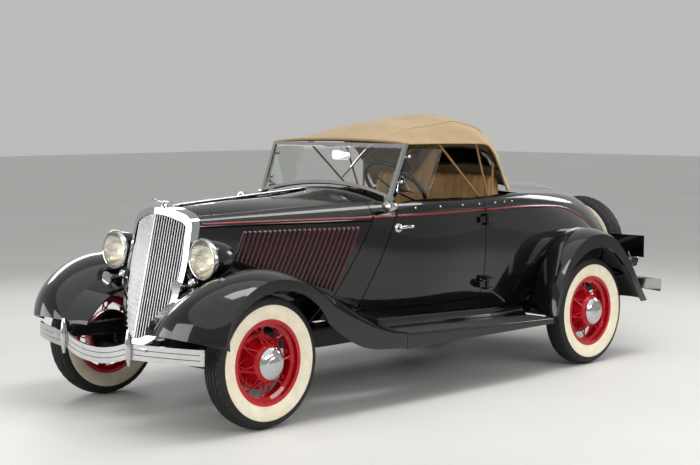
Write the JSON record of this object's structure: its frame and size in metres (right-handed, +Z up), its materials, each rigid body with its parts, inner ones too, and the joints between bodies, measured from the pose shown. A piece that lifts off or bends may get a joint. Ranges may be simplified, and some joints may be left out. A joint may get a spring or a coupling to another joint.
{
  "type": "roadster",
  "caption": "Open two-seat roadster with a raked V grille, louvred hood, wire wheels, sweeping fenders, rumble seat and raised cloth top; its wheels roll and steer.",
  "frame": {"origin": "on the ground below the middle of the overall length, on the centre plane", "axes": "+X forward, +Y to the car's left, +Z up"},
  "size_m": [4.486, 1.7002, 1.6457],
  "materials": {
    "body_paint": "gloss",
    "chassis_paint": "satin",
    "engine_paint": "satin",
    "steel": "satin",
    "chrome": "polished",
    "glass": "polished",
    "canvas": "matte",
    "bow_wood": "satin",
    "leather": "satin",
    "dark_plastic": "gloss",
    "tyre": "matte",
    "wheel_red": "gloss"
  },
  "bodies": {
    "chassis": {"cowl": "body_paint", "rear_body": "body_paint", "hood_sides": "body_paint", "front_fender_left": "body_paint", "front_fender_right": "body_paint", "rear_fender_left": "body_paint", "rear_fender_right": "body_paint", "running_boards": "body_paint", "frame_rails": "chassis_paint", "cross_members": "chassis_paint", "front_axle": "chassis_paint", "rear_axle": "chassis_paint", "fuel_tank": "chassis_paint", "floor_pan": "chassis_paint", "spare_carrier": "chassis_paint", "steering_column": "chassis_paint", "engine_block": "engine_paint", "exhaust": "steel", "radiator": "steel", "radiator_shell": "chrome", "grille_bars": "chrome", "front_bumper": "chrome", "rear_bumper": "chrome", "headlamps": "chrome", "horns": "chrome", "cowl_lamps": "chrome", "hood_ornament": "chrome", "hood_hinge_pin": "chrome", "windshield_frame": "chrome", "tail_lamp_left": "chrome", "tail_lamp_right": "chrome", "windshield_glass": "glass", "headlamp_lenses": "glass", "soft_top": "canvas", "top_frame": "bow_wood", "seat_cushion": "leather", "seat_back": "leather", "spare_tyre": "tyre", "spare_wheel": "wheel_red"},
    "door_left": {"door_left": "body_paint"},
    "door_right": {"door_right": "body_paint"},
    "hood_left": {"hood_left": "body_paint"},
    "hood_right": {"hood_right": "body_paint"},
    "rumble_lid": {"rumble_lid": "body_paint"},
    "steering_wheel": {"steering_wheel": "dark_plastic"},
    "knuckle_left": {"knuckle_left": "chassis_paint"},
    "knuckle_right": {"knuckle_right": "chassis_paint"},
    "tie_rod": {"tie_rod": "chassis_paint"},
    "wheel_front_left": {"tyre_front_left": "tyre", "wheel_front_left": "wheel_red"},
    "wheel_front_right": {"tyre_front_right": "tyre", "wheel_front_right": "wheel_red"},
    "wheel_rear_left": {"tyre_rear_left": "tyre", "wheel_rear_left": "wheel_red"},
    "wheel_rear_right": {"tyre_rear_right": "tyre", "wheel_rear_right": "wheel_red"}
  },
  "joints": [
    {"name": "steer_left", "type": "hinge", "parent": "chassis", "child": "knuckle_left", "pos_m": [1.656, 0.575, 0.356], "axis": [0, 0, 1], "range_deg": [-30, 30]},
    {"name": "steer_right", "type": "hinge", "parent": "chassis", "child": "knuckle_right", "pos_m": [1.656, -0.575, 0.356], "axis": [0, 0, 1], "range_deg": [-30, 30]},
    {"name": "steering_wheel_turn", "type": "hinge", "parent": "chassis", "child": "steering_wheel", "pos_m": [0.226, 0.33, 1.205], "axis": [-0.747, 0, 0.6648], "range_deg": [-455, 455]},
    {"name": "tie_rod_slide", "type": "slide", "parent": "chassis", "child": "tie_rod", "axis": [0, 1, 0], "range_m": [-0.074, 0.074]},
    {"name": "roll_front_left", "type": "hinge", "parent": "knuckle_left", "child": "wheel_front_left", "pos_m": [1.656, 0.701, 0.356], "axis": [0, 1, 0], "continuous": true},
    {"name": "roll_front_right", "type": "hinge", "parent": "knuckle_right", "child": "wheel_front_right", "pos_m": [1.656, -0.701, 0.356], "axis": [0, 1, 0], "continuous": true},
    {"name": "roll_rear_left", "type": "hinge", "parent": "chassis", "child": "wheel_rear_left", "pos_m": [-1.189, 0.72, 0.356], "axis": [0, 1, 0], "continuous": true},
    {"name": "roll_rear_right", "type": "hinge", "parent": "chassis", "child": "wheel_rear_right", "pos_m": [-1.189, -0.72, 0.356], "axis": [0, 1, 0], "continuous": true},
    {"name": "door_left_hinge", "type": "hinge", "parent": "chassis", "child": "door_left", "pos_m": [-0.256, 0.662, 0.8], "axis": [0, 0, 1], "range_deg": [0, 65]},
    {"name": "hood_left_hinge", "type": "hinge", "parent": "chassis", "child": "hood_left", "pos_m": [1.17165, 0, 1.181], "axis": [0.9982, 0, -0.0591], "range_deg": [0, 55]},
    {"name": "door_right_hinge", "type": "hinge", "parent": "chassis", "child": "door_right", "pos_m": [-0.256, -0.662, 0.8], "axis": [0, 0, -1], "range_deg": [0, 65]},
    {"name": "hood_right_hinge", "type": "hinge", "parent": "chassis", "child": "hood_right", "pos_m": [1.17165, 0, 1.181], "axis": [-0.9982, 0, 0.0591], "range_deg": [0, 55]},
    {"name": "rumble_lid_hinge", "type": "hinge", "parent": "chassis", "child": "rumble_lid", "pos_m": [-1.912, 0, 0.962], "axis": [0, -1, 0], "range_deg": [0, 62]}
  ],
  "couplings": [
    {"joint": "steer_right", "follows": "steer_left", "ratio": 1},
    {"joint": "steering_wheel_turn", "follows": "steer_left", "ratio": 15},
    {"joint": "tie_rod_slide", "follows": "steer_left", "m_per_rad": -0.14}
  ]
}
